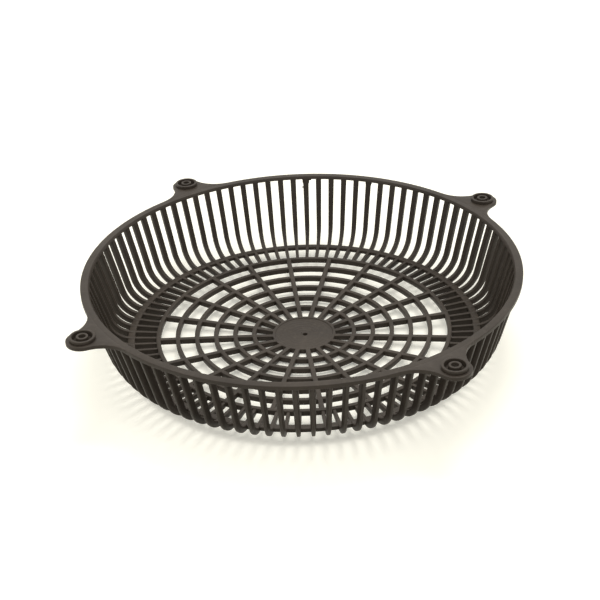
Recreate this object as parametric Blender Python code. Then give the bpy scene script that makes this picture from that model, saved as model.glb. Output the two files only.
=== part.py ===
"""Moulded fan guard: a bowl-shaped finger guard for an axial cooling fan.

One plastic moulding. A flat rim with four screw ears carries a wall of deep, J-shaped slats.
The slats run over an outer floor ring and end in the next one. Inside it, concentric rings and
radial spokes slope down to a solid hub disc, on which the guard rests.
Metres, +Z up. The origin is on the axis, at the underside of the hub.
"""

import math

import bmesh
import bpy
from mathutils import Matrix, Vector

# Rim: a flat ring whose inner face leans in under it, down to the tops of the slats
RIM_RADIUS = 0.170
RIM_WIDTH = 0.0059
RIM_LIP = 0.0032
RIM_SKIRT = 0.0026

# Hub disc and how far the rim stands above it
HUB_RADIUS = 0.0253
HUB_THICKNESS = 0.0042
HUB_BAND = 0.0024
HUB_RECESS = 0.0006
BOWL_DEPTH = 0.0632

# Floor: rings on a shallow cone that rises from the hub, with spokes across them
DISH_ANGLE = math.radians(3.64)
RING_COUNT = 6
HUB_GAP = 0.0142
FOOT_SPAN = 0.02165
BEND_SPAN = 0.03285
RING_WIDTH = 0.0030
RING_DEPTH = 0.0034
OUTER_RING_WIDTH = 0.0055
OUTER_RING_DEPTH = 0.0031
FLOOR_SETDOWN = 0.0002
SPOKE_COUNT = 20
SPOKE_WIDTH = 0.0032

# Wall: plates that stand on edge round the rim, and thin out downwards and inwards
SLAT_COUNT = 90
SLAT_THICKNESS = 0.0040
SLAT_SPREAD = 0.0120
SLAT_DRAFT = 0.0166
SLAT_DEPTH = 0.0049
SLAT_FOOT = 0.0054
SLAT_END = 0.0028
SLAT_TOP_INSET = 0.0006
WALL_DRAFT = math.radians(14.4)
CORNER_INNER_RADIUS = 0.0177
CORNER_OUTER_RADIUS = 0.0240
CORNER_STEPS = 3
SLAT_PROUD = 0.0003
SLAT_SUNK = 0.0002
SLAT_SEAT = 0.0006

# Screw ears: a plate level with the rim and a round boss with a groove round its screw tube
EAR_COUNT = 4
EAR_FIRST_ANGLE = math.radians(45.0)
EAR_REACH = 0.0145
EAR_THICKNESS = 0.0029
EAR_FILLET = 0.0250
EAR_LAND = 0.00275
BOSS_HEIGHT = 0.0026
SCREW_HOLE_RADIUS = 0.0026
SCREW_TUBE_WALL = 0.0018
GROOVE_WIDTH = 0.0030
GROOVE_FLOOR = 0.0016
COLLAR_WALL = 0.0019
BOSS_FACETS = 12
SCREW_HOLE_FACETS = 8

# Finish
PLASTIC_COLOUR = (0.062, 0.054, 0.047, 1.0)
PLASTIC_ROUGHNESS = 0.42

# Places that follow from the sizes above
HUB_TOP = HUB_THICKNESS
RIM_TOP = HUB_TOP + BOWL_DEPTH
OUTER_BAND_RADIUS = RIM_RADIUS - BEND_SPAN
INNER_BAND_RADIUS = OUTER_BAND_RADIUS - FOOT_SPAN
FIRST_RING_RADIUS = HUB_RADIUS + HUB_GAP
RING_PITCH = (INNER_BAND_RADIUS - FIRST_RING_RADIUS) / (RING_COUNT - 1)
SLAT_TOP_RADIUS = RIM_RADIUS - RIM_WIDTH - SLAT_TOP_INSET
INNER_BAND_DEPTH = RING_DEPTH + 2 * FLOOR_SETDOWN
COLLAR_INNER_RADIUS = SCREW_HOLE_RADIUS + SCREW_TUBE_WALL + GROOVE_WIDTH
COLLAR_RADIUS = COLLAR_INNER_RADIUS + COLLAR_WALL
EAR_RADIUS = COLLAR_RADIUS + EAR_LAND
EAR_CENTRE = RIM_RADIUS + EAR_REACH
BOSS_TOP = RIM_TOP + BOSS_HEIGHT
CUT_MARGIN = 0.002


def clear_scene():
    """Start from an empty file."""
    for item in list(bpy.data.objects):
        bpy.data.objects.remove(item, do_unlink=True)


def floor_height(radius):
    """Height of the shallow cone that the tops of the floor follow."""
    return HUB_TOP + (radius - HUB_RADIUS) * math.tan(DISH_ANGLE)


def add_object(name, bm):
    """Turn a bmesh into an object with its faces pointing out."""
    bmesh.ops.recalc_face_normals(bm, faces=bm.faces)
    mesh = bpy.data.meshes.new(name)
    bm.to_mesh(mesh)
    bm.free()
    item = bpy.data.objects.new(name, mesh)
    bpy.context.scene.collection.objects.link(item)
    return item


def turn_profile(bm, profile, facets, phase=0.0):
    """Spin a closed profile of (radius, height) points round the axis."""
    start = Matrix.Rotation(phase, 3, "Z")
    verts = [bm.verts.new(start @ Vector((r, 0.0, z))) for r, z in profile]
    edges = [bm.edges.new((a, b)) for a, b in zip(verts, verts[1:] + verts[:1])]
    bmesh.ops.spin(
        bm, geom=verts + edges, cent=(0, 0, 0), axis=(0, 0, 1),
        angle=math.tau, steps=facets, use_merge=True,
    )


def bar_profile(radius, width, top, depth):
    """Rectangular section of a floor ring."""
    inner, outer = radius - width / 2, radius + width / 2
    return [(inner, top), (outer, top), (outer, top - depth), (inner, top - depth)]


def extrude_region(bm, faces, vector):
    """Give open faces a thickness, which closes them into a solid."""
    result = bmesh.ops.extrude_face_region(bm, geom=faces)
    moved = [v for v in result["geom"] if isinstance(v, bmesh.types.BMVert)]
    bmesh.ops.translate(bm, verts=moved, vec=vector)


def extrude_outline(bm, outline, vector):
    """Fill an outline of 3-D points and extrude it into a closed plate."""
    face = bm.faces.new([bm.verts.new(point) for point in outline])
    extrude_region(bm, [face], vector)


def pattern_round(bm, count, first_angle=0.0):
    """Replace the shape in a bmesh by copies spaced evenly round the axis."""
    base = bm.verts[:] + bm.edges[:] + bm.faces[:]
    for index in range(1, count):
        copy = bmesh.ops.duplicate(bm, geom=base)["geom"]
        verts = [v for v in copy if isinstance(v, bmesh.types.BMVert)]
        turn = Matrix.Rotation(index * math.tau / count, 3, "Z")
        bmesh.ops.rotate(bm, verts=verts, cent=(0, 0, 0), matrix=turn)
    bmesh.ops.rotate(bm, verts=bm.verts[:], cent=(0, 0, 0), matrix=Matrix.Rotation(first_angle, 3, "Z"))


def rounded_corner(before, corner, after, radius, steps):
    """Points of the arc that rounds a corner between two straight runs."""
    back = ((before[0] - corner[0]), (before[1] - corner[1]))
    ahead = ((after[0] - corner[0]), (after[1] - corner[1]))
    back_length, ahead_length = math.hypot(*back), math.hypot(*ahead)
    back = (back[0] / back_length, back[1] / back_length)
    ahead = (ahead[0] / ahead_length, ahead[1] / ahead_length)
    half = math.acos(back[0] * ahead[0] + back[1] * ahead[1]) / 2
    setback = min(radius / math.tan(half), 0.9 * back_length, 0.9 * ahead_length)
    radius = setback * math.tan(half)
    middle = (back[0] + ahead[0], back[1] + ahead[1])
    reach = radius / math.sin(half) / math.hypot(*middle)
    centre = (corner[0] + middle[0] * reach, corner[1] + middle[1] * reach)
    first = (corner[0] + back[0] * setback, corner[1] + back[1] * setback)
    last = (corner[0] + ahead[0] * setback, corner[1] + ahead[1] * setback)
    start = math.atan2(first[1] - centre[1], first[0] - centre[0])
    sweep = math.atan2(last[1] - centre[1], last[0] - centre[0]) - start
    sweep = (sweep + math.pi) % math.tau - math.pi
    return [
        (centre[0] + radius * math.cos(start + sweep * i / steps),
         centre[1] + radius * math.sin(start + sweep * i / steps))
        for i in range(steps + 1)
    ]


def crossing(point_a, slope_a, point_b, slope_b):
    """Where a steep line r = r0 + slope z meets a flat line z = z0 + slope r."""
    height = (point_b[1] + slope_b * (point_a[0] - slope_a * point_a[1] - point_b[0]))
    height /= 1 - slope_a * slope_b
    return (point_a[0] + slope_a * (height - point_a[1]), height)


def slat_outline():
    """J-shaped outline of one slat, as (radius, height) points."""
    lean = math.tan(WALL_DRAFT)
    radial_depth = SLAT_DEPTH / math.cos(WALL_DRAFT)
    end_radius = INNER_BAND_RADIUS + RING_WIDTH / 2 - SLAT_SEAT

    end_top = (end_radius, floor_height(INNER_BAND_RADIUS) - SLAT_SUNK)
    knee_top = (OUTER_BAND_RADIUS, floor_height(OUTER_BAND_RADIUS) + SLAT_PROUD)
    end_foot = (end_radius, end_top[1] - SLAT_END)
    knee_foot = (OUTER_BAND_RADIUS, knee_top[1] - SLAT_FOOT)
    top_slope = (knee_top[1] - end_top[1]) / (knee_top[0] - end_top[0])
    foot_slope = (knee_foot[1] - end_foot[1]) / (knee_foot[0] - end_foot[0])

    wall_inner = (SLAT_TOP_RADIUS, RIM_TOP)
    wall_outer = (SLAT_TOP_RADIUS + radial_depth, RIM_TOP)
    inner_corner = crossing(wall_inner, lean, end_top, top_slope)
    outer_corner = crossing(wall_outer, lean, end_foot, foot_slope)

    inner_drop = 0.85 * RIM_SKIRT
    outer_drop = 0.60 * RIM_LIP
    inner_start = (wall_inner[0] - lean * inner_drop, RIM_TOP - inner_drop)
    outer_start = (wall_outer[0] - lean * outer_drop, RIM_TOP - outer_drop)

    inner = rounded_corner(inner_start, inner_corner, end_top, CORNER_INNER_RADIUS, CORNER_STEPS)
    outer = rounded_corner(end_foot, outer_corner, outer_start, CORNER_OUTER_RADIUS, CORNER_STEPS)
    return [inner_start] + inner + [end_top, end_foot] + outer + [outer_start]


def make_rim():
    """The flat rim, with a leaning inner face that hides the tops of the slats."""
    inner = RIM_RADIUS - RIM_WIDTH
    skirt_inner = SLAT_TOP_RADIUS - math.tan(WALL_DRAFT) * RIM_SKIRT - 0.0002
    profile = [
        (inner, RIM_TOP), (RIM_RADIUS, RIM_TOP),
        (RIM_RADIUS, RIM_TOP - RIM_LIP), (skirt_inner, RIM_TOP - RIM_SKIRT),
    ]
    bm = bmesh.new()
    turn_profile(bm, profile, SLAT_COUNT, phase=math.pi / SLAT_COUNT)
    return add_object("fan_guard", bm)


def slat_thickness(radius, height):
    """Thickness of a slat, greatest at the top of the wall; its sides stay flat."""
    thinner = SLAT_SPREAD * (SLAT_TOP_RADIUS - radius) + SLAT_DRAFT * (RIM_TOP - height)
    return SLAT_THICKNESS - thinner


def make_slats():
    """The wall: one plate with tapered sides, patterned round the axis."""
    half = SLAT_THICKNESS / 2
    bm = bmesh.new()
    extrude_outline(bm, [(r, -half, z) for r, z in slat_outline()], (0, SLAT_THICKNESS, 0))
    for vert in bm.verts:
        vert.co.y *= slat_thickness(vert.co.x, vert.co.z) / SLAT_THICKNESS
    pattern_round(bm, SLAT_COUNT)
    return add_object("slats", bm)


def floor_point(bm, radius, angle):
    """A new vertex on the top of the floor lattice."""
    height = floor_height(radius) - FLOOR_SETDOWN
    return bm.verts.new((radius * math.cos(angle), radius * math.sin(angle), height))


def floor_patch(bm, inner, outer, start, stop):
    """One flat piece of the lattice; start and stop hold an angle at each radius."""
    bm.faces.new([
        floor_point(bm, inner, start[0]), floor_point(bm, outer, start[1]),
        floor_point(bm, outer, stop[1]), floor_point(bm, inner, stop[0]),
    ])


def make_floor():
    """Rings and spokes as one lattice, drawn from above and then given its depth."""
    step = math.tau / SPOKE_COUNT
    radii = [HUB_RADIUS - HUB_BAND / 2]
    for index in range(RING_COUNT - 1):
        centre = FIRST_RING_RADIUS + index * RING_PITCH
        radii += [centre - RING_WIDTH / 2, centre + RING_WIDTH / 2]
    radii.append(INNER_BAND_RADIUS)
    halves = [math.asin(SPOKE_WIDTH / 2 / r) for r in radii]

    bm = bmesh.new()
    for i in range(len(radii) - 1):
        sides = (halves[i], halves[i + 1])
        floor_patch(bm, radii[i], radii[i + 1], [-a for a in sides], sides)
        if i % 2 == 1:
            chords = 1 if radii[i] < FIRST_RING_RADIUS + 1.5 * RING_PITCH else 2
            marks = [[a + (step - 2 * a) * n / chords for a in sides] for n in range(chords + 1)]
            for start, stop in zip(marks, marks[1:]):
                floor_patch(bm, radii[i], radii[i + 1], start, stop)
    pattern_round(bm, SPOKE_COUNT)
    bmesh.ops.remove_doubles(bm, verts=bm.verts, dist=1e-6)
    extrude_region(bm, bm.faces[:], (0, 0, -RING_DEPTH))
    return add_object("floor", bm)


def make_band_rings():
    """The two rings that carry the slats, one under their bend and one at their ends."""
    bm = bmesh.new()
    top = floor_height(INNER_BAND_RADIUS)
    band = bar_profile(INNER_BAND_RADIUS, RING_WIDTH, top, INNER_BAND_DEPTH)
    turn_profile(bm, band, SLAT_COUNT // 2, phase=math.pi / SLAT_COUNT)
    top = floor_height(OUTER_BAND_RADIUS)
    band = bar_profile(OUTER_BAND_RADIUS, OUTER_RING_WIDTH, top, OUTER_RING_DEPTH)
    turn_profile(bm, band, SLAT_COUNT)
    return add_object("band_rings", bm)


def make_hub():
    """Solid disc with a shallow round recess in its top."""
    recess_radius = HUB_RADIUS - HUB_BAND
    bm = bmesh.new()
    disc_with_step(bm, HUB_RADIUS, 0.0, HUB_TOP, recess_radius, HUB_TOP - HUB_RECESS)
    return add_object("hub", bm)


def disc_with_step(bm, radius, bottom, top, step_radius, step_height):
    """A disc whose middle lies at another height than its edge band."""
    facets = 2 * SPOKE_COUNT
    rows = []
    for r, z in ((radius, bottom), (radius, top), (step_radius, top), (step_radius, step_height)):
        angles = [math.tau * (i + 0.5) / facets for i in range(facets)]
        rows.append([bm.verts.new((r * math.cos(a), r * math.sin(a), z)) for a in angles])
    for low, high in zip(rows, rows[1:]):
        for i in range(facets):
            j = (i + 1) % facets
            bm.faces.new((low[i], low[j], high[j], high[i]))
    bm.faces.new(rows[0][::-1])
    bm.faces.new(rows[-1])


def ear_outline():
    """Plan of an ear that points along +X: round end, two fillets, tail inside the rim."""
    far = RIM_RADIUS + EAR_FILLET
    near = EAR_RADIUS + EAR_FILLET
    x = (far ** 2 - near ** 2 + EAR_CENTRE ** 2) / (2 * EAR_CENTRE)
    y = math.sqrt(far ** 2 - x ** 2)
    boss_angle = math.atan2(y, x - EAR_CENTRE)
    rim_angle = math.atan2(y, x)

    end = [
        (EAR_CENTRE + EAR_RADIUS * math.cos(boss_angle * t), EAR_RADIUS * math.sin(boss_angle * t))
        for t in (0.0, 1 / 3, 2 / 3)
    ]
    start, stop = boss_angle + math.pi, rim_angle + math.pi
    steps = 3
    fillet = [
        (x + EAR_FILLET * math.cos(start + (stop - start) * i / steps),
         y + EAR_FILLET * math.sin(start + (stop - start) * i / steps))
        for i in range(steps + 1)
    ]
    tail_radius = RIM_RADIUS - 0.3 * RIM_WIDTH
    tail = [
        (tail_radius * math.cos(rim_angle * t), tail_radius * math.sin(rim_angle * t))
        for t in (1.05, 0.5)
    ]
    half = end[1:] + fillet + tail
    mirrored = [(px, -py) for px, py in reversed(half)]
    return [end[0]] + half + [(tail_radius, 0.0)] + mirrored


def make_ears():
    """Flat ear plates, level with the top of the rim."""
    bm = bmesh.new()
    extrude_outline(bm, [(x, y, RIM_TOP - EAR_THICKNESS) for x, y in ear_outline()],
                    (0, 0, EAR_THICKNESS))
    pattern_round(bm, EAR_COUNT, EAR_FIRST_ANGLE)
    return add_object("ears", bm)


def upright_cylinder(bm, radius, bottom, top, facets):
    """A cylinder over the centre of the ear that points along +X."""
    made = bmesh.ops.create_cone(
        bm, cap_ends=True, segments=facets, radius1=radius, radius2=radius, depth=top - bottom)
    bmesh.ops.translate(bm, verts=made["verts"], vec=(EAR_CENTRE, 0, (top + bottom) / 2))


def make_bosses():
    """Round bosses on the ears."""
    bm = bmesh.new()
    upright_cylinder(bm, COLLAR_RADIUS, RIM_TOP - EAR_THICKNESS / 2, BOSS_TOP, BOSS_FACETS)
    pattern_round(bm, EAR_COUNT, EAR_FIRST_ANGLE)
    return add_object("bosses", bm)


def make_boss_cutters():
    """Tools that cut the groove round each screw tube, and the screw hole."""
    floor = RIM_TOP - EAR_THICKNESS + GROOVE_FLOOR
    tube_radius = SCREW_HOLE_RADIUS + SCREW_TUBE_WALL
    bm = bmesh.new()
    section = [
        (tube_radius, BOSS_TOP + CUT_MARGIN), (COLLAR_INNER_RADIUS, BOSS_TOP + CUT_MARGIN),
        (COLLAR_INNER_RADIUS, floor), (tube_radius, floor),
    ]
    turn_profile(bm, section, BOSS_FACETS, phase=math.pi / BOSS_FACETS)
    bmesh.ops.translate(bm, verts=bm.verts[:], vec=(EAR_CENTRE, 0, 0))
    bottom = RIM_TOP - EAR_THICKNESS - CUT_MARGIN
    upright_cylinder(bm, SCREW_HOLE_RADIUS, bottom, BOSS_TOP + CUT_MARGIN, SCREW_HOLE_FACETS)
    pattern_round(bm, EAR_COUNT, EAR_FIRST_ANGLE)
    return add_object("boss_cutters", bm)


def combine(target, tools):
    """Join or cut the tools one after another with exact Booleans, then bake the result."""
    for tool, operation in tools:
        modifier = target.modifiers.new(tool.name, "BOOLEAN")
        modifier.object = tool
        modifier.operation = operation
        modifier.solver = "EXACT"
        tool.hide_render = True
        tool.display_type = "WIRE"
    graph = bpy.context.evaluated_depsgraph_get()
    mesh = bpy.data.meshes.new_from_object(target.evaluated_get(graph))
    target.modifiers.clear()
    target.data = mesh
    for tool, _ in tools:
        bpy.data.objects.remove(tool, do_unlink=True)


def inline_neighbour(vert):
    """The nearer end of the straight edge that a point only splits, or None."""
    if len(vert.link_edges) != 3:
        return None
    for seam in vert.link_edges:
        ends = [edge.other_vert(vert) for edge in vert.link_edges if edge != seam]
        ways = [(end.co - vert.co).normalized() for end in ends]
        if ways[0].dot(ways[1]) < -1 + 1e-7 and seam.calc_face_angle(1.0) < 1e-3:
            return min(ends, key=lambda end: (end.co - vert.co).length)
    return None


def tidy_mesh(target):
    """Merge stray points, drop needless edges on flat faces, and shade it."""
    bm = bmesh.new()
    bm.from_mesh(target.data)
    bmesh.ops.remove_doubles(bm, verts=bm.verts, dist=1e-6)
    bmesh.ops.dissolve_degenerate(bm, edges=bm.edges, dist=1e-6)
    bmesh.ops.dissolve_limit(bm, angle_limit=math.radians(0.1), verts=bm.verts, edges=bm.edges)
    inline = {vert: inline_neighbour(vert) for vert in bm.verts}
    bmesh.ops.weld_verts(bm, targetmap={a: b for a, b in inline.items() if b})
    bm.to_mesh(target.data)
    bm.free()
    target.data.shade_smooth()
    target.data.set_sharp_from_angle(angle=math.radians(32.0))


def plastic_material():
    """Satin black-brown moulded plastic."""
    material = bpy.data.materials.new("guard_plastic")
    material.use_nodes = True
    shader = material.node_tree.nodes["Principled BSDF"]
    shader.inputs["Base Color"].default_value = PLASTIC_COLOUR
    shader.inputs["Roughness"].default_value = PLASTIC_ROUGHNESS
    shader.inputs["Metallic"].default_value = 0.0
    return material


def build():
    """Model the guard."""
    clear_scene()
    guard = make_rim()
    combine(guard, [
        (make_slats(), "UNION"),
        (make_band_rings(), "UNION"),
        (make_floor(), "UNION"),
        (make_hub(), "UNION"),
        (make_ears(), "UNION"),
        (make_bosses(), "UNION"),
        (make_boss_cutters(), "DIFFERENCE"),
    ])
    tidy_mesh(guard)
    guard.data.materials.clear()
    guard.data.materials.append(plastic_material())
    return guard


build()
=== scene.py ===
"""Dressed model of a moulded fan guard, laid out as a Blender add-on and run as a script.

The guard is one plastic moulding. It is made here in six pieces that meet inside each other:
the rim, the slats of the wall, the rings and spokes of the floor, the hub disc, the screw ears
and the few bits of flash that hang under the rim.
"""

import math

import bmesh
import bpy
from bpy.props import FloatProperty, FloatVectorProperty, IntProperty, PointerProperty
from mathutils import Matrix, Vector


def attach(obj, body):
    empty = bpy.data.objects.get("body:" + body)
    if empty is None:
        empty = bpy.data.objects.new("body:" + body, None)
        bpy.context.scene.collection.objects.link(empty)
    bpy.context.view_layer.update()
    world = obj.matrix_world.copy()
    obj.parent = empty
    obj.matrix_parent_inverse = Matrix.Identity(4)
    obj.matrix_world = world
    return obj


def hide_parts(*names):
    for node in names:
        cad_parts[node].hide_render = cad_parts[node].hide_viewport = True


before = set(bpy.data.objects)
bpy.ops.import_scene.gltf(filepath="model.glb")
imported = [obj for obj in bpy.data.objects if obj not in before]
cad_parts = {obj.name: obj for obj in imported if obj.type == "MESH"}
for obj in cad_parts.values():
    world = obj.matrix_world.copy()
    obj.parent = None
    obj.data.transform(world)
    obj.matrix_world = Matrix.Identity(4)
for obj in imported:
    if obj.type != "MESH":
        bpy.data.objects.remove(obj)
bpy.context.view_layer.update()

bl_info = {
    "name": "Fan guard",
    "version": (1, 0, 0),
    "blender": (4, 5, 0),
    "location": "3D View > Sidebar > Fan guard",
    "description": "Builds a moulded plastic finger guard for a cooling fan",
    "category": "Object",
}

GUARD_NODE = "fan_guard"
GUARD_BODY = "root"

# Width of the photograph, and the camera's shift to the side, in pixels
IMAGE_WIDTH = 600
IMAGE_SHIFT = -5.4
# Place of the camera from the middle of the rim's top, before its turn round the guard, in metres
CAMERA_PLACE = (0.00219, -0.80871, 0.43367)

# Number of flat sides of the turned shapes
RIM_SEGMENTS = 360
RING_SEGMENTS = 180
HUB_SEGMENTS = 144
BOSS_SEGMENTS = 64
OPENING_SEGMENTS = 48

# The rounding of an edge takes at most this share of each side next to it
EDGE_SHARE = 0.45
# Points closer than this are one, and edges sharper than this angle stay sharp
MERGE_DISTANCE = 1e-6
SHARP_ANGLE = math.radians(50.0)

# The solid's rim is drawn in flat facets, so the round rim stays this much inside its corners
FACET_SAG = 0.00012
# How far pieces of the moulding reach into each other
OVERLAP = 0.0002

# Shares of the rim's skirt and lip at which a slat's inner and outer edge start under the rim
SLAT_HEAD_INNER = 0.85
SLAT_HEAD_OUTER = 0.60
# A slat ends at this share of the ring's width beyond the ring's middle
SLAT_SEAT = 0.2
# The outer edge of a slat is at most this share of its inner edge's thickness
SLAT_TAPER = 0.92
# Heights between which a slat loses its swell as it goes round the bend
BEND_LOW = 0.010
BEND_HIGH = 0.022

# Spokes stand this much above the rings they cross, and sink as much below the hub's band
SPOKE_PROUD = 0.00008
# At the hub the foot of a spoke ends this much above the table
SPOKE_CLEARANCE = 0.0001

# Section of the gate mark from its middle outwards: radius as a share of the gate's radius,
# and height over the hub's middle in metres
GATE_SECTION = (
    (0.0, -0.0024),
    (0.85, -0.0024),
    (1.0, -0.0001),
    (1.35, 0.00012),
    (1.6875, 0.0),
)
# Places of the gate mark and of the nub beside it on the hub, and the nub's radius, in metres
GATE_PLACE = (0.0011, -0.0013)
NUB_PLACE = (-0.0019, 0.0001)
NUB_RADIUS = 0.0005
# Run of the slope from the hub's middle up to its raised band, and the rounding at its ends
STEP_SLOPE = 0.0002
STEP_ROUND = 0.0003

# An ear's tail inside the rim: points on each side, start as a share of the angle where the
# fillet meets the rim, and depth as a share of the rim's width
TAIL_POINTS = 5
TAIL_START = 1.03
TAIL_DEPTH = 0.3
# Shares of the collar's wall at which the turned boss and the plate round it end below the collar
BOSS_SEAT = 0.3
PLATE_SEAT = 0.4
# An ear's plate stands this much over the rim, so that the two tops don't lie in one plane
PLATE_PROUD = 0.00001

# Webs of flash under the rim: direction in degrees, then width and drop in metres
FLASH_WEBS = (
    (100.0, 0.0068, 0.0090),
    (98.8, 0.0036, 0.0014),
    (80.0, 0.0064, 0.0050),
    (52.0, 0.0062, 0.0030),
)
# A web starts at this share of the skirt and narrows to a tip of this width
WEB_HEAD = 0.8
WEB_TIP = 0.0022
# A web's distance behind the slats' inner edges, its depth and the fall of its outer side
WEB_SET = 0.0003
WEB_DEPTH = 0.0016
WEB_FALL = 0.0004
# How a web's width wavers down its length and how fast it narrows
WEB_WAVER = 0.10
WEB_WAVE = 2.3
WEB_NARROWING = 0.6
# A lump of flash beside a slat: direction in degrees, drop below the rim and radius in metres,
# and its distance behind the slats' inner edges
FLASH_LUMP = (101.0, 0.0096, 0.0007)
LUMP_SET = 0.0010

# Half the width of the floor, and how far it lies below the hub
FLOOR_HALF = 4.0
FLOOR_DROP = 0.00005
# Light from the horizon and from overhead, as shares of the sky's strength
HORIZON_SHARE = 0.20
ZENITH_SHARE = 1.70


def length(name, description, default):
    """A size in metres that a user may change."""
    return FloatProperty(name=name, description=description, default=default, min=0.0,
                         precision=5, unit="LENGTH")


def count(name, description, default):
    """A number of like features."""
    return IntProperty(name=name, description=description, default=default, min=1)


def angle(name, description, degrees):
    """An angle that a user may change."""
    return FloatProperty(name=name, description=description, default=math.radians(degrees),
                         subtype="ANGLE")


def colour(name, description, default):
    """A colour that a user may change."""
    return FloatVectorProperty(name=name, description=description, default=default, size=3,
                               min=0.0, max=1.0, subtype="COLOR")


def amount(name, description, default):
    """A plain number without a unit."""
    return FloatProperty(name=name, description=description, default=default, min=0.0)


class GuardSizes(bpy.types.PropertyGroup):
    """Sizes of the guard."""

    rim_top: length("Rim top", "Height of the rim's top above the underside of the hub", 0.0674)
    rim_radius: length("Rim radius", "Outer radius of the rim", 0.1700)
    rim_width: length("Rim width", "Width of the rim's flat top", 0.0059)
    rim_lip: length("Rim lip", "Height of the rim's outer edge", 0.0032)
    rim_skirt: length("Rim skirt", "Height of the rim's leaning inner face", 0.0026)
    edge: length("Edge radius", "Radius on the edges of the moulding", 0.00045)

    hub_radius: length("Hub radius", "Radius of the hub disc", 0.0253)
    hub_top: length("Hub top", "Height of the hub's raised band", 0.0042)
    hub_band: length("Hub band", "Width of the raised band round the hub", 0.0024)
    hub_recess: length("Hub recess", "Depth of the hub's middle below its band", 0.0006)
    gate_radius: length("Gate radius", "Radius of the moulding's gate mark", 0.0020)

    dish: angle("Dish", "Rise of the floor from the hub outwards", 3.64)
    ring_count: count("Ring count", "Number of rings up to the one where the slats end", 6)
    hub_gap: length("Hub gap", "Distance from the hub's edge to the first ring", 0.0147)
    foot_span: length("Foot span", "Distance between the two rings that carry the slats", 0.0213)
    bend_span: length("Bend span", "Distance from the outer ring to the rim's edge", 0.03285)
    ring_width: length("Ring width", "Width of a ring", 0.0034)
    ring_depth: length("Ring depth", "Height of a ring's section", 0.0044)
    outer_ring_width: length("Outer ring width", "Width of the ring under the bend", 0.0055)
    outer_ring_depth: length("Outer ring depth", "Height of the ring under the bend", 0.0031)
    floor_rise: length("Floor rise", "How far rings and spokes stand above the hub's level", 0.0005)
    spoke_count: count("Spoke count", "Number of spokes", 20)
    spoke_width: length("Spoke width", "Width of a spoke", 0.0037)

    slat_count: count("Slat count", "Number of slats in the wall", 90)
    slat_thickness: length("Slat thickness", "Inner edge at the rim, without its swell", 0.0040)
    slat_back: length("Slat back", "Thickness of a slat's outer edge", 0.0024)
    slat_spread: amount("Slat spread", "Thickness a slat loses per unit of radius inwards", 0.0120)
    slat_draft: amount("Slat draft", "Thickness a slat loses per unit of height downwards", 0.0166)
    slat_swell: length("Slat swell", "Thickness added to a slat above its bend", 0.00095)
    slat_depth: length("Slat depth", "Depth of a slat through the wall", 0.0049)
    slat_foot: length("Slat foot", "Height of a slat where it bends under the wall", 0.0054)
    slat_end: length("Slat end", "Height of a slat at its inner end", 0.0040)
    slat_sunk: length("Slat sunk", "Depth of a slat's inner end below the floor's cone", 0.0002)
    slat_proud: length("Slat proud", "How far a slat stands above the ring under its bend", 0.0003)
    slat_inset: length("Slat inset", "Step from the rim's inner edge to the slats", 0.0006)
    draft: angle("Draft", "Lean of the wall", 14.4)
    inner_bend: length("Inner bend", "Radius of a slat's bend on its inner side", 0.0177)
    outer_bend: length("Outer bend", "Radius of a slat's bend on its outer side", 0.0240)

    ear_count: count("Ear count", "Number of screw ears", 4)
    ear_angle: angle("Ear angle", "Direction of the first ear", 45.0)
    ear_reach: length("Ear reach", "Distance of an ear's screw hole beyond the rim", 0.0145)
    ear_thickness: length("Ear thickness", "Thickness of an ear", 0.0029)
    ear_fillet: length("Ear fillet", "Radius of the fillets that blend an ear into the rim", 0.0250)
    ear_land: length("Ear land", "Width of the ear's edge round its boss", 0.00275)
    boss_height: length("Boss height", "Height of the boss above the rim", 0.0026)
    boss_edge: length("Boss edge radius", "Radius on the edges of a boss", 0.00036)
    hole_radius: length("Hole radius", "Radius of a screw hole", 0.0026)
    tube_wall: length("Tube wall", "Wall of the screw tube in a boss", 0.0018)
    groove_width: length("Groove width", "Width of the groove round the screw tube", 0.0030)
    groove_depth: length("Groove depth", "Depth of the groove below the boss top", 0.0040)
    collar_wall: length("Collar wall", "Wall of the boss outside its groove", 0.0019)


class GuardFinish(bpy.types.PropertyGroup):
    """Colours and surface of the plastic."""

    dark: colour("Dark plastic", "Colour where the plastic is darkest", (0.035, 0.0274, 0.0216))
    light: colour("Light plastic", "Colour where the plastic is palest", (0.057, 0.0454, 0.0361))
    scuff: colour("Scuffs", "Colour of fine scuffs and dust", (0.105, 0.085, 0.064))
    roughness: amount("Roughness", "Mean roughness of the surface", 0.47)
    dust: amount("Dust", "Share of dust on faces that look up", 0.30)
    grain: amount("Grain", "Strength of the fine moulded grain", 0.18)


class GuardStage(bpy.types.PropertyGroup):
    """Floor, light and camera."""

    floor_colour: colour("Floor colour", "Colour of the floor", (0.93, 0.912, 0.835))
    floor_glow: colour("Floor glow", "Colour of the white added on the floor", (1.0, 1.0, 0.93))
    floor_lift: amount("Floor lift", "Strength of the white that is seen added on the floor", 0.22)
    floor_bounce: amount("Floor bounce", "Share of light that the floor throws back", 0.18)
    backdrop: colour("Backdrop", "Colour seen behind the floor", (1.0, 0.992, 0.955))
    sky_colour: colour("Sky colour", "Colour of the light from all round", (1.0, 0.985, 0.93))
    sky: amount("Sky", "Strength of the light from all round", 0.88)
    key: amount("Key", "Strength of the light from behind", 0.70)
    top: amount("Top", "Strength of the soft light from above", 0.20)
    lens: FloatProperty(name="Lens", description="Focal length of the camera in millimetres",
                        default=70.97, min=1.0)
    camera_elevation: angle("Camera elevation", "Camera angle above the horizon", 30.0)
    camera_azimuth: angle("Camera azimuth", "Camera direction round the guard", 12.5)
    camera_roll: angle("Camera roll", "Turn of the camera about its own axis", -2.44)


# Shape helpers


def sizes():
    """The sizes that the pieces are built from."""
    return bpy.context.scene.guard_sizes


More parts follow.
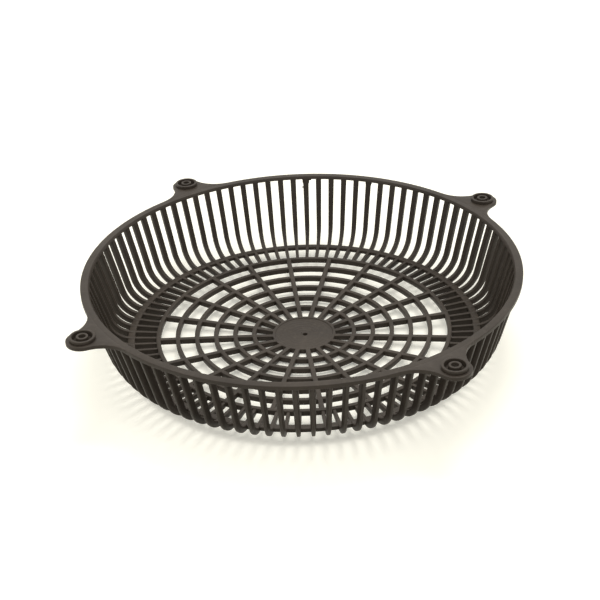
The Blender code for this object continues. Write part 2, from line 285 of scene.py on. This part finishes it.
def floor_height(s, radius):
    """Height of the shallow cone that the tops of the floor follow."""
    return s.hub_top + (radius - s.hub_radius) * math.tan(s.dish)


def outer_band(s):
    """Radius of the ring under the bend of the slats."""
    return s.rim_radius - s.bend_span


def inner_band(s):
    """Radius of the ring where the slats end."""
    return outer_band(s) - s.foot_span


def slat_top_radius(s):
    """Radius of the slats' inner edges, drawn up to the rim's top."""
    return s.rim_radius - s.rim_width - s.slat_inset


def rounded_corner(before, corner, after, radius, steps, share=1.0):
    """Points of the arc that rounds a corner and takes at most a share of each run beside it."""
    back = Vector(before) - Vector(corner)
    ahead = Vector(after) - Vector(corner)
    half = back.angle(ahead) / 2
    setback = min(radius / math.tan(half), share * min(back.length, ahead.length))
    radius = setback * math.tan(half)
    back.normalize()
    ahead.normalize()
    centre = Vector(corner) + (back + ahead).normalized() * radius / math.sin(half)
    first = Vector(corner) + back * setback - centre
    last = Vector(corner) + ahead * setback - centre
    start = math.atan2(first.y, first.x)
    sweep = (math.atan2(last.y, last.x) - start + math.pi) % math.tau - math.pi
    return [
        (centre.x + radius * math.cos(start + sweep * i / steps),
         centre.y + radius * math.sin(start + sweep * i / steps))
        for i in range(steps + 1)
    ]


def soften(points, radius, steps=3):
    """A closed section with its corners rounded."""
    result = []
    for i, corner in enumerate(points):
        after = points[(i + 1) % len(points)]
        result += rounded_corner(points[i - 1], corner, after, radius, steps, EDGE_SHARE)
    return result


def soften_run(points, rounds):
    """An open run of points, each inner corner rounded by its own (radius, steps)."""
    result = [points[0]]
    for before, corner, after, (radius, steps) in zip(points, points[1:], points[2:], rounds):
        result += rounded_corner(before, corner, after, radius, steps)
    return result + [points[-1]]


def lathe(bm, profile, segments, closed=True):
    """Turn a profile of (radius, height) points round the axis."""
    columns = []
    for i in range(segments):
        a = math.tau * i / segments
        columns.append([bm.verts.new((r * math.cos(a), r * math.sin(a), z)) for r, z in profile])
    last = len(profile) if closed else len(profile) - 1
    for i in range(segments):
        here, there = columns[i], columns[(i + 1) % segments]
        for j in range(last):
            k = (j + 1) % len(profile)
            bm.faces.new((here[j], there[j], there[k], here[k]))


def bar_section(top_width, foot_width, depth, edge):
    """Rounded section of a tapered plate, as (sideways, down) points."""
    a, b = top_width / 2, foot_width / 2
    e = min(edge, EDGE_SHARE * top_width, EDGE_SHARE * foot_width, EDGE_SHARE * depth)
    k = e * (1 - math.sqrt(0.5))
    side = [(a - e, 0), (a - k, k), (a, e), (b, depth - e), (b - k, depth - k), (b - e, depth)]
    return side + [(-y, d) for y, d in reversed(side)]


def loft_plate(bm, tops, feet, top_widths, foot_widths, edge):
    """A plate on edge along X, lofted between its top line and its foot line."""
    rows = []
    for top, foot, top_width, foot_width in zip(tops, feet, top_widths, foot_widths):
        top, foot = Vector(top), Vector(foot)
        down = (foot - top).normalized()
        section = bar_section(top_width, foot_width, (foot - top).length, edge)
        rows.append([
            bm.verts.new((top.x + down.x * d, y, top.y + down.y * d)) for y, d in section
        ])
    for a, b in zip(rows, rows[1:]):
        for i in range(len(a)):
            j = (i + 1) % len(a)
            bm.faces.new((a[i], a[j], b[j], b[i]))
    bm.faces.new(rows[0][::-1])
    bm.faces.new(rows[-1])


def pattern_round(bm, total, first_angle=0.0):
    """Replace the shape in a bmesh by copies spaced evenly round the axis."""
    base = bm.verts[:] + bm.edges[:] + bm.faces[:]
    for i in range(1, total):
        copy = bmesh.ops.duplicate(bm, geom=base)["geom"]
        verts = [v for v in copy if isinstance(v, bmesh.types.BMVert)]
        turn = Matrix.Rotation(i * math.tau / total, 3, "Z")
        bmesh.ops.rotate(bm, verts=verts, cent=(0, 0, 0), matrix=turn)
    turn = Matrix.Rotation(first_angle, 3, "Z")
    bmesh.ops.rotate(bm, verts=bm.verts[:], cent=(0, 0, 0), matrix=turn)


def crossing(point_a, slope_a, point_b, slope_b):
    """Where a steep line r = r0 + slope z meets a flat line z = z0 + slope r."""
    height = point_b[1] + slope_b * (point_a[0] - slope_a * point_a[1] - point_b[0])
    height /= 1 - slope_a * slope_b
    return (point_a[0] + slope_a * (height - point_a[1]), height)


def join(bm, made, name):
    """Add one bmesh to another and free it."""
    mesh = bpy.data.meshes.new(name)
    made.to_mesh(mesh)
    made.free()
    bm.from_mesh(mesh)
    bpy.data.meshes.remove(mesh)


def add_piece(name, bm, material):
    """Make a bmesh a shown piece of the guard, in place of the solid of the same moulding."""
    bmesh.ops.remove_doubles(bm, verts=bm.verts, dist=MERGE_DISTANCE)
    bmesh.ops.recalc_face_normals(bm, faces=bm.faces)
    mesh = bpy.data.meshes.new(name)
    bm.to_mesh(mesh)
    bm.free()
    mesh.shade_smooth()
    mesh.set_sharp_from_angle(angle=SHARP_ANGLE)
    mesh.materials.append(material)
    piece = bpy.data.objects.new(name, mesh)
    bpy.context.scene.collection.objects.link(piece)
    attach(piece, GUARD_BODY)
    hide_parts(GUARD_NODE)
    return piece


# Materials


class Nodes:
    """Short calls for adding and linking the nodes of a material."""

    def __init__(self, name):
        self.material = bpy.data.materials.new(name)
        self.material.use_nodes = True
        self.tree = self.material.node_tree
        self.shader = self.tree.nodes["Principled BSDF"]
        self.place = self.add("ShaderNodeTexCoord").outputs["Object"]

    def add(self, kind, **settings):
        """Add a node and set its own settings."""
        node = self.tree.nodes.new(kind)
        for key, value in settings.items():
            setattr(node, key, value)
        return node

    def link(self, output, socket):
        """Join an output to an input."""
        self.tree.links.new(output, socket)

    def noise(self, scale, detail=3.0, roughness=0.5, distortion=0.0):
        """Noise over the object, as a value round 0.5."""
        node = self.add("ShaderNodeTexNoise")
        node.inputs["Scale"].default_value = scale
        node.inputs["Detail"].default_value = detail
        node.inputs["Roughness"].default_value = roughness
        node.inputs["Distortion"].default_value = distortion
        self.link(self.place, node.inputs["Vector"])
        return node.outputs["Fac"]

    def ramp(self, value, low, high, out_low=0.0, out_high=1.0):
        """Map a range of values onto another, clamped."""
        node = self.add("ShaderNodeMapRange")
        node.inputs["From Min"].default_value = low
        node.inputs["From Max"].default_value = high
        node.inputs["To Min"].default_value = out_low
        node.inputs["To Max"].default_value = out_high
        self.link(value, node.inputs["Value"])
        return node.outputs["Result"]

    def maths(self, operation, first, second):
        """One operation on two values or sockets."""
        node = self.add("ShaderNodeMath", operation=operation)
        for socket, value in zip(node.inputs, (first, second)):
            if isinstance(value, (int, float)):
                socket.default_value = value
            else:
                self.link(value, socket)
        return node.outputs["Value"]

    def mix(self, factor, first, second):
        """Blend two colours or colour sockets."""
        node = self.add("ShaderNodeMix", data_type="RGBA")
        self.link(factor, node.inputs["Factor"])
        for key, value in (("A", first), ("B", second)):
            socket = next(i for i in node.inputs if i.name == key and i.type == "RGBA")
            if isinstance(value, bpy.types.NodeSocket):
                self.link(value, socket)
            else:
                socket.default_value = (*value, 1.0)
        return next(o for o in node.outputs if o.type == "RGBA")

    def bump(self, height, strength, distance, below=None):
        """A bump on top of another."""
        node = self.add("ShaderNodeBump")
        node.inputs["Strength"].default_value = strength
        node.inputs["Distance"].default_value = distance
        self.link(height, node.inputs["Height"])
        if below is not None:
            self.link(below, node.inputs["Normal"])
        return node.outputs["Normal"]


def plastic_base(nodes, finish):
    """Colour, roughness and grain that the whole moulding shares."""
    blotches = nodes.noise(scale=16.0, detail=4.0, roughness=0.6)
    blotches = nodes.ramp(blotches, low=0.32, high=0.68)
    colour_now = nodes.mix(blotches, tuple(finish.dark), tuple(finish.light))
    facing = nodes.add("ShaderNodeSeparateXYZ")
    nodes.link(nodes.add("ShaderNodeNewGeometry").outputs["Normal"], facing.inputs["Vector"])
    upward = nodes.ramp(facing.outputs["Z"], low=0.55, high=0.98)
    specks = nodes.noise(scale=240.0, detail=6.0, roughness=0.68)
    specks = nodes.ramp(specks, low=0.52, high=0.74)
    dust = nodes.maths("MULTIPLY", nodes.maths("MULTIPLY", specks, upward), finish.dust)
    colour_now = nodes.mix(dust, colour_now, tuple(finish.scuff))
    flow = nodes.noise(scale=55.0, detail=5.0, roughness=0.55, distortion=0.6)
    flow = nodes.ramp(flow, low=0.30, high=0.72, out_low=-0.05, out_high=0.07)
    roughness = nodes.maths("ADD", flow, finish.roughness)
    grain = nodes.noise(scale=1500.0, detail=2.0)
    normal = nodes.bump(grain, strength=finish.grain, distance=0.00012)
    ripple = nodes.noise(scale=90.0)
    normal = nodes.bump(ripple, strength=0.25, distance=0.0006, below=normal)
    return colour_now, roughness, normal


def finish_shader(nodes, colour_now, roughness, normal):
    """Link the shared surface to the shader."""
    nodes.link(colour_now, nodes.shader.inputs["Base Color"])
    nodes.link(roughness, nodes.shader.inputs["Roughness"])
    nodes.link(normal, nodes.shader.inputs["Normal"])
    nodes.shader.inputs["IOR"].default_value = 1.5
    nodes.shader.inputs["Specular IOR Level"].default_value = 0.22


def moulded_plastic():
    """Satin black-brown plastic of the rim, wall and floor."""
    found = bpy.data.materials.get("moulded_plastic")
    if found:
        return found
    nodes = Nodes("moulded_plastic")
    finish_shader(nodes, *plastic_base(nodes, bpy.context.scene.guard_finish))
    return nodes.material


def hub_plastic():
    """The same plastic with the faint rings and flow lines that the hub's middle shows."""
    nodes = Nodes("hub_plastic")
    colour_now, roughness, normal = plastic_base(nodes, bpy.context.scene.guard_finish)
    swirl = nodes.add("ShaderNodeTexWave", wave_type="RINGS", rings_direction="Z")
    swirl.inputs["Scale"].default_value = 95.0
    swirl.inputs["Distortion"].default_value = 5.0
    swirl.inputs["Detail"].default_value = 3.0
    swirl.inputs["Detail Scale"].default_value = 1.6
    nodes.link(nodes.place, swirl.inputs["Vector"])
    normal = nodes.bump(swirl.outputs["Fac"], strength=0.08, distance=0.0005, below=normal)
    sheen = nodes.ramp(swirl.outputs["Fac"], low=0.0, high=1.0, out_low=-0.02, out_high=0.02)
    roughness = nodes.maths("ADD", roughness, sheen)
    finish_shader(nodes, colour_now, roughness, normal)
    return nodes.material


# Pieces


class GUARD_OT_rim(bpy.types.Operator):
    """Turn the flat rim with its leaning inner face."""

    bl_idname = "guard.rim"
    bl_label = "Rim"

    def execute(self, context):
        s = sizes()
        inner = s.rim_radius - s.rim_width
        outer = s.rim_radius - FACET_SAG
        skirt = slat_top_radius(s) - math.tan(s.draft) * s.rim_skirt - OVERLAP
        section = [
            (inner, s.rim_top), (outer, s.rim_top),
            (outer, s.rim_top - s.rim_lip), (skirt, s.rim_top - s.rim_skirt),
        ]
        bm = bmesh.new()
        lathe(bm, soften(section, s.edge, 4), RIM_SEGMENTS)
        add_piece("rim", bm, moulded_plastic())
        return {"FINISHED"}


def slat_lines(s, steps=10):
    """Inner and outer edge line of a slat, from the rim down and in to its end."""
    lean = math.tan(s.draft)
    wall = slat_top_radius(s)
    outer_wall = wall + s.slat_depth / math.cos(s.draft)
    band = inner_band(s)
    bend = outer_band(s)
    end_radius = band + SLAT_SEAT * s.ring_width
    end_top = (end_radius, floor_height(s, band) - s.slat_sunk)
    end_foot = (end_radius, end_top[1] - s.slat_end)
    knee_top = (bend, floor_height(s, bend) + s.slat_proud)
    knee_foot = (bend, knee_top[1] - s.slat_foot)
    top_slope = (knee_top[1] - end_top[1]) / (knee_top[0] - end_top[0])
    foot_slope = (knee_foot[1] - end_foot[1]) / (knee_foot[0] - end_foot[0])
    inner_corner = crossing((wall, s.rim_top), lean, end_top, top_slope)
    outer_corner = crossing((outer_wall, s.rim_top), lean, end_foot, foot_slope)
    inner_drop = SLAT_HEAD_INNER * s.rim_skirt
    outer_drop = SLAT_HEAD_OUTER * s.rim_lip
    inner_start = (wall - lean * inner_drop, s.rim_top - inner_drop)
    outer_start = (outer_wall - lean * outer_drop, s.rim_top - outer_drop)
    inner_arc = rounded_corner(inner_start, inner_corner, end_top, s.inner_bend, steps)
    outer_arc = rounded_corner(outer_start, outer_corner, end_foot, s.outer_bend, steps)
    return [inner_start, *inner_arc, end_top], [outer_start, *outer_arc, end_foot]


def slat_width(s, radius, height):
    """Thickness of a slat's inner edge, which thins inwards, downwards and round the bend."""
    drafted = s.slat_thickness - s.slat_spread * (slat_top_radius(s) - radius)
    drafted -= s.slat_draft * (s.rim_top - height)
    share = (height - BEND_LOW) / (BEND_HIGH - BEND_LOW)
    return drafted + s.slat_swell * min(max(share, 0.0), 1.0)


class GUARD_OT_slats(bpy.types.Operator):
    """Loft one bent slat and pattern it round the wall."""

    bl_idname = "guard.slats"
    bl_label = "Slats"

    def execute(self, context):
        s = sizes()
        inner, outer = slat_lines(s)
        widths = [slat_width(s, r, z) for r, z in inner]
        backs = [min(s.slat_back, SLAT_TAPER * width) for width in widths]
        bm = bmesh.new()
        loft_plate(bm, inner, outer, widths, backs, s.edge)
        pattern_round(bm, s.slat_count)
        add_piece("slats", bm, moulded_plastic())
        return {"FINISHED"}


class GUARD_OT_floor(bpy.types.Operator):
    """Turn the rings and lay the spokes across them."""

    bl_idname = "guard.floor"
    bl_label = "Rings and spokes"

    def execute(self, context):
        s = sizes()
        bm = bmesh.new()
        first = s.hub_radius + s.hub_gap
        pitch = (inner_band(s) - first) / (s.ring_count - 1)
        for i in range(s.ring_count):
            self.ring(bm, s, first + i * pitch, s.ring_width, s.floor_rise, s.ring_depth)
        self.ring(bm, s, outer_band(s), s.outer_ring_width, 0.0, s.outer_ring_depth)
        self.spokes(bm, s, first)
        add_piece("floor", bm, moulded_plastic())
        return {"FINISHED"}

    def ring(self, bm, s, radius, width, rise, depth):
        """One ring, its section rounded."""
        top = floor_height(s, radius) + rise
        inner, outer = radius - width / 2, radius + width / 2
        section = [(inner, top), (outer, top), (outer, top - depth), (inner, top - depth)]
        lathe(bm, soften(section, s.edge, 2), RING_SEGMENTS)

    def spokes(self, bm, s, first):
        """The spokes, from inside the hub's band over the first ring to the slats' inner ring."""
        hub_end = s.hub_radius - s.hub_band / 2
        tops = [(hub_end, s.hub_top - SPOKE_PROUD)]
        feet = [(hub_end, SPOKE_CLEARANCE)]
        for radius in (first, inner_band(s)):
            top = floor_height(s, radius) + s.floor_rise + SPOKE_PROUD
            tops.append((radius, top))
            feet.append((radius, top - s.ring_depth))
        widths = [s.spoke_width] * len(tops)
        made = bmesh.new()
        loft_plate(made, tops, feet, widths, widths, s.edge)
        pattern_round(made, s.spoke_count)
        join(bm, made, "spokes")


class GUARD_OT_hub(bpy.types.Operator):
    """Turn the hub disc with its raised band and gate mark."""

    bl_idname = "guard.hub"
    bl_label = "Hub"

    def execute(self, context):
        s = sizes()
        middle = s.hub_top - s.hub_recess
        bm = bmesh.new()
        lathe(bm, self.profile(s, middle), HUB_SEGMENTS, closed=False)
        mark = [v for v in bm.verts if v.co.z > 0 and v.co.xy.length < 2 * s.gate_radius]
        bmesh.ops.translate(bm, verts=mark, vec=(*GATE_PLACE, 0.0))
        nub = Matrix.Translation((*NUB_PLACE, middle))
        bmesh.ops.create_icosphere(bm, subdivisions=2, radius=NUB_RADIUS, matrix=nub)
        add_piece("hub", bm, hub_plastic())
        return {"FINISHED"}

    def profile(self, s, middle):
        """Half section, out from the gate mark, over the raised band and back underneath."""
        band = s.hub_radius - s.hub_band
        mark = [(share * s.gate_radius, middle + rise) for share, rise in GATE_SECTION]
        run = [
            (band - 2 * STEP_ROUND, middle), (band, middle), (band + STEP_SLOPE, s.hub_top),
            (s.hub_radius, s.hub_top), (s.hub_radius, 0.0), (0.0, 0.0),
        ]
        rounds = ((STEP_ROUND, 3), (STEP_ROUND, 3), (s.edge, 4), (s.edge, 4))
        return mark + soften_run(run, rounds)


def boss_radii(s):
    """Outer radii of the screw tube, of the groove round it and of the collar."""
    tube = s.hole_radius + s.tube_wall
    groove = tube + s.groove_width
    return tube, groove, groove + s.collar_wall


def ear_outline(s, arc_steps=14):
    """Plan of an ear that points along +X: round end, two fillets, tail inside the rim."""
    centre = s.rim_radius + s.ear_reach
    end_radius = boss_radii(s)[2] + s.ear_land
    far, near = s.rim_radius + s.ear_fillet, end_radius + s.ear_fillet
    x = (far ** 2 - near ** 2 + centre ** 2) / (2 * centre)
    y = math.sqrt(far ** 2 - x ** 2)
    boss_angle, rim_angle = math.atan2(y, x - centre), math.atan2(y, x)
    half = []
    for i in range(1, arc_steps):
        a = boss_angle * i / arc_steps
        half.append((centre + end_radius * math.cos(a), end_radius * math.sin(a)))
    for i in range(arc_steps + 1):
        a = math.pi + boss_angle + (rim_angle - boss_angle) * i / arc_steps
        half.append((x + s.ear_fillet * math.cos(a), y + s.ear_fillet * math.sin(a)))
    tail = s.rim_radius - TAIL_DEPTH * s.rim_width
    for i in range(TAIL_POINTS):
        a = rim_angle * (TAIL_START - i / TAIL_POINTS)
        half.append((tail * math.cos(a), tail * math.sin(a)))
    return [(centre + end_radius, 0.0)] + half + [(px, -py) for px, py in reversed(half)]


class GUARD_OT_ears(bpy.types.Operator):
    """Cut the ear plates from their outline and turn the bosses on them."""

    bl_idname = "guard.ears"
    bl_label = "Screw ears"

    def execute(self, context):
        s = sizes()
        bm = bmesh.new()
        self.plate(bm, s)
        self.boss(bm, s)
        pattern_round(bm, s.ear_count, s.ear_angle)
        add_piece("ears", bm, moulded_plastic())
        return {"FINISHED"}

    def plate(self, bm, s):
        """A filled outline with a round opening for the boss, given its thickness."""
        opening = boss_radii(s)[1] + PLATE_SEAT * s.collar_wall
        centre = s.rim_radius + s.ear_reach
        ring = []
        for i in range(OPENING_SEGMENTS):
            a = math.tau * i / OPENING_SEGMENTS
            ring.append((centre + opening * math.cos(a), opening * math.sin(a)))
        curve = bpy.data.curves.new("ear_plan", "CURVE")
        curve.dimensions = "2D"
        curve.fill_mode = "BOTH"
        curve.extrude = s.ear_thickness / 2 - s.edge
        curve.bevel_depth = s.edge
        curve.bevel_resolution = 2
        curve.offset = -s.edge
        for points in (ear_outline(s), ring):
            spline = curve.splines.new("POLY")
            spline.points.add(len(points) - 1)
            for point, (x, y) in zip(spline.points, points):
                point.co = (x, y, 0.0, 1.0)
            spline.use_cyclic_u = True
        plan = bpy.data.objects.new("ear_plan", curve)
        bpy.context.scene.collection.objects.link(plan)
        graph = bpy.context.evaluated_depsgraph_get()
        mesh = bpy.data.meshes.new_from_object(plan.evaluated_get(graph))
        height = s.rim_top + PLATE_PROUD - s.ear_thickness / 2
        mesh.transform(Matrix.Translation((0, 0, height)))
        bm.from_mesh(mesh)
        bpy.data.objects.remove(plan, do_unlink=True)
        bpy.data.curves.remove(curve)
        bpy.data.meshes.remove(mesh)
        bmesh.ops.remove_doubles(bm, verts=bm.verts, dist=MERGE_DISTANCE)

    def boss(self, bm, s):
        """Collar, groove and screw tube in one turned section."""
        top, under = s.rim_top + s.boss_height, s.rim_top - s.ear_thickness
        tube, groove, collar = boss_radii(s)
        floor = top - s.groove_depth
        foot = s.rim_top - OVERLAP
        seat = groove + BOSS_SEAT * s.collar_wall
        section = [
            (s.hole_radius, under), (s.hole_radius, top), (tube, top), (tube, floor),
            (groove, floor), (groove, top), (collar, top), (collar + OVERLAP / 2, foot),
            (seat, foot), (seat, under),
        ]
        made = bmesh.new()
        lathe(made, soften(section, s.boss_edge, 3), BOSS_SEGMENTS)
        bmesh.ops.translate(made, verts=made.verts[:], vec=(s.rim_radius + s.ear_reach, 0, 0))
        join(bm, made, "boss")


class GUARD_OT_flash(bpy.types.Operator):
    """Hang the ragged webs of flash between the rim and the slats."""

    bl_idname = "guard.flash"
    bl_label = "Flash"

    def execute(self, context):
        s = sizes()
        bm = bmesh.new()
        for direction, width, drop in FLASH_WEBS:
            self.web(bm, s, math.radians(direction), width, drop)
        direction, drop, radius = FLASH_LUMP
        self.lump(bm, s, math.radians(direction), drop, radius)
        add_piece("flash", bm, moulded_plastic())
        return {"FINISHED"}

    def web(self, bm, s, direction, width, drop, steps=8):
        """A thin web that narrows downwards with a ragged edge."""
        inner, outer, widths = [], [], []
        for i in range(steps + 1):
            share = i / steps
            down = WEB_HEAD * s.rim_skirt + drop * share
            radius = slat_top_radius(s) - math.tan(s.draft) * down + WEB_SET
            inner.append((radius, s.rim_top - down))
            outer.append((radius + WEB_DEPTH, s.rim_top - down - WEB_FALL))
            ragged = 1 + WEB_WAVER * math.sin(WEB_WAVE * i + direction)
            widths.append(WEB_TIP + (width - WEB_TIP) * ragged * (1 - share) ** WEB_NARROWING)
        made = bmesh.new()
        loft_plate(made, inner, outer, widths, widths, s.edge)
        turn = Matrix.Rotation(direction, 3, "Z")
        bmesh.ops.rotate(made, verts=made.verts[:], cent=(0, 0, 0), matrix=turn)
        join(bm, made, "web")

    def lump(self, bm, s, direction, drop, radius):
        """A small lump that sticks to the side of a slat."""
        reach = slat_top_radius(s) - math.tan(s.draft) * drop + LUMP_SET
        centre = (reach * math.cos(direction), reach * math.sin(direction), s.rim_top - drop)
        place = Matrix.Translation(centre)
        bmesh.ops.create_icosphere(bm, subdivisions=2, radius=radius, matrix=place)


# Stage


def seen_ray(tree):
    """One for rays that show the surroundings, straight or in a reflection, and zero for light."""
    path = tree.nodes.new("ShaderNodeLightPath")
    total = path.outputs["Is Camera Ray"]
    for name in ("Is Glossy Ray", "Is Transmission Ray"):
        add = tree.nodes.new("ShaderNodeMath")
        add.use_clamp = True
        tree.links.new(total, add.inputs[0])
        tree.links.new(path.outputs[name], add.inputs[1])
        total = add.outputs["Value"]
    return total


class GUARD_OT_stage(bpy.types.Operator):
    """Lay the floor, light it and set the camera."""

    bl_idname = "guard.stage"
    bl_label = "Stage"

    def execute(self, context):
        st = context.scene.guard_stage
        self.floor(st)
        self.world(context.scene, st)
        self.lamp("key_light", st.key, towards=(0.04, 0.46, 1.0), spread=22.0,
                  tint=(1.0, 0.985, 0.95))
        self.lamp("top_light", st.top, towards=(0.12, 0.05, 1.0), spread=50.0,
                  tint=(1.0, 0.975, 0.93))
        self.camera(context.scene, st)
        context.scene.view_settings.view_transform = "Standard"
        return {"FINISHED"}

    def floor(self, st):
        """A wide pale floor that turns white where nothing shades it."""
        bm = bmesh.new()
        bmesh.ops.create_grid(bm, x_segments=1, y_segments=1, size=FLOOR_HALF)
        mesh = bpy.data.meshes.new("stage_floor")
        bm.to_mesh(mesh)
        bm.free()
        floor = bpy.data.objects.new("stage_floor", mesh)
        floor.location.z = -FLOOR_DROP
        bpy.context.scene.collection.objects.link(floor)
        nodes = Nodes("stage_paper")
        seen = seen_ray(nodes.tree)
        bounce = tuple(st.floor_bounce * c for c in st.floor_colour)
        colour_now = nodes.mix(seen, bounce, tuple(st.floor_colour))
        glow = nodes.maths("MULTIPLY", seen, st.floor_lift)
        nodes.link(colour_now, nodes.shader.inputs["Base Color"])
        nodes.link(glow, nodes.shader.inputs["Emission Strength"])
        nodes.shader.inputs["Emission Color"].default_value = (*st.floor_glow, 1.0)
        nodes.shader.inputs["Roughness"].default_value = 0.9
        nodes.shader.inputs["Specular IOR Level"].default_value = 0.0
        mesh.materials.append(nodes.material)

    def world(self, scene, st):
        """Soft light from all round, strongest overhead, seen as near white."""
        world = bpy.data.worlds.new("studio")
        world.use_nodes = True
        tree = world.node_tree
        tree.nodes.clear()
        seen = tree.nodes.new("ShaderNodeBackground")
        seen.inputs["Color"].default_value = (*st.backdrop, 1.0)
        light = tree.nodes.new("ShaderNodeBackground")
        light.inputs["Color"].default_value = (*st.sky_colour, 1.0)
        towards = tree.nodes.new("ShaderNodeTexCoord")
        split = tree.nodes.new("ShaderNodeSeparateXYZ")
        rise = tree.nodes.new("ShaderNodeMapRange")
        rise.inputs["To Min"].default_value = HORIZON_SHARE * st.sky
        rise.inputs["To Max"].default_value = ZENITH_SHARE * st.sky
        tree.links.new(towards.outputs["Generated"], split.inputs["Vector"])
        tree.links.new(split.outputs["Z"], rise.inputs["Value"])
        tree.links.new(rise.outputs["Result"], light.inputs["Strength"])
        mix = tree.nodes.new("ShaderNodeMixShader")
        out = tree.nodes.new("ShaderNodeOutputWorld")
        tree.links.new(seen_ray(tree), mix.inputs["Fac"])
        tree.links.new(light.outputs["Background"], mix.inputs[1])
        tree.links.new(seen.outputs["Background"], mix.inputs[2])
        tree.links.new(mix.outputs["Shader"], out.inputs["Surface"])
        scene.world = world

    def lamp(self, name, strength, towards, spread, tint):
        """A distant soft lamp in a direction, its spread in degrees."""
        data = bpy.data.lights.new(name, "SUN")
        data.energy = strength
        data.angle = math.radians(spread)
        data.color = tint
        lamp = bpy.data.objects.new(name, data)
        lamp.rotation_euler = Vector(towards).to_track_quat("Z", "Y").to_euler()
        bpy.context.scene.collection.objects.link(lamp)

    def camera(self, scene, st):
        """The camera at the photograph's place."""
        data = bpy.data.cameras.new("camera")
        data.sensor_width = 36.0
        data.lens = st.lens
        data.shift_x = IMAGE_SHIFT / IMAGE_WIDTH
        data.clip_start = 0.01
        camera = bpy.data.objects.new("camera", data)
        turn = (Matrix.Rotation(st.camera_azimuth, 4, "Z")
                @ Matrix.Rotation(math.pi / 2 - st.camera_elevation, 4, "X")
                @ Matrix.Rotation(st.camera_roll, 4, "Z"))
        place = Matrix.Rotation(st.camera_azimuth, 3, "Z") @ Vector(CAMERA_PLACE)
        place.z += sizes().rim_top
        camera.matrix_world = Matrix.Translation(place) @ turn
        scene.collection.objects.link(camera)
        scene.camera = camera


class GUARD_PT_panel(bpy.types.Panel):
    """Lists the sizes, the finish and the steps that build the guard."""

    bl_label = "Fan guard"
    bl_idname = "GUARD_PT_panel"
    bl_space_type = "VIEW_3D"
    bl_region_type = "UI"
    bl_category = "Fan guard"

    def draw(self, context):
        scene = context.scene
        for group in (scene.guard_sizes, scene.guard_finish, scene.guard_stage):
            box = self.layout.box()
            for key in group.bl_rna.properties.keys():
                if key not in ("rna_type", "name"):
                    box.prop(group, key)
        for operator in STEPS:
            self.layout.operator(operator.bl_idname)


STEPS = (GUARD_OT_rim, GUARD_OT_slats, GUARD_OT_floor, GUARD_OT_hub, GUARD_OT_ears,
         GUARD_OT_flash, GUARD_OT_stage)
CLASSES = (GuardSizes, GuardFinish, GuardStage, *STEPS, GUARD_PT_panel)


def register():
    """Make the classes and their settings known."""
    for item in CLASSES:
        bpy.utils.register_class(item)
    bpy.types.Scene.guard_sizes = PointerProperty(type=GuardSizes)
    bpy.types.Scene.guard_finish = PointerProperty(type=GuardFinish)
    bpy.types.Scene.guard_stage = PointerProperty(type=GuardStage)


def unregister():
    """Take the classes and their settings away."""
    del bpy.types.Scene.guard_stage
    del bpy.types.Scene.guard_finish
    del bpy.types.Scene.guard_sizes
    for item in reversed(CLASSES):
        bpy.utils.unregister_class(item)


def main():
    """Build the guard and its stage."""
    register()
    bpy.ops.guard.rim()
    bpy.ops.guard.slats()
    bpy.ops.guard.floor()
    bpy.ops.guard.hub()
    bpy.ops.guard.ears()
    bpy.ops.guard.flash()
    bpy.ops.guard.stage()


if __name__ == "__main__":
    main()
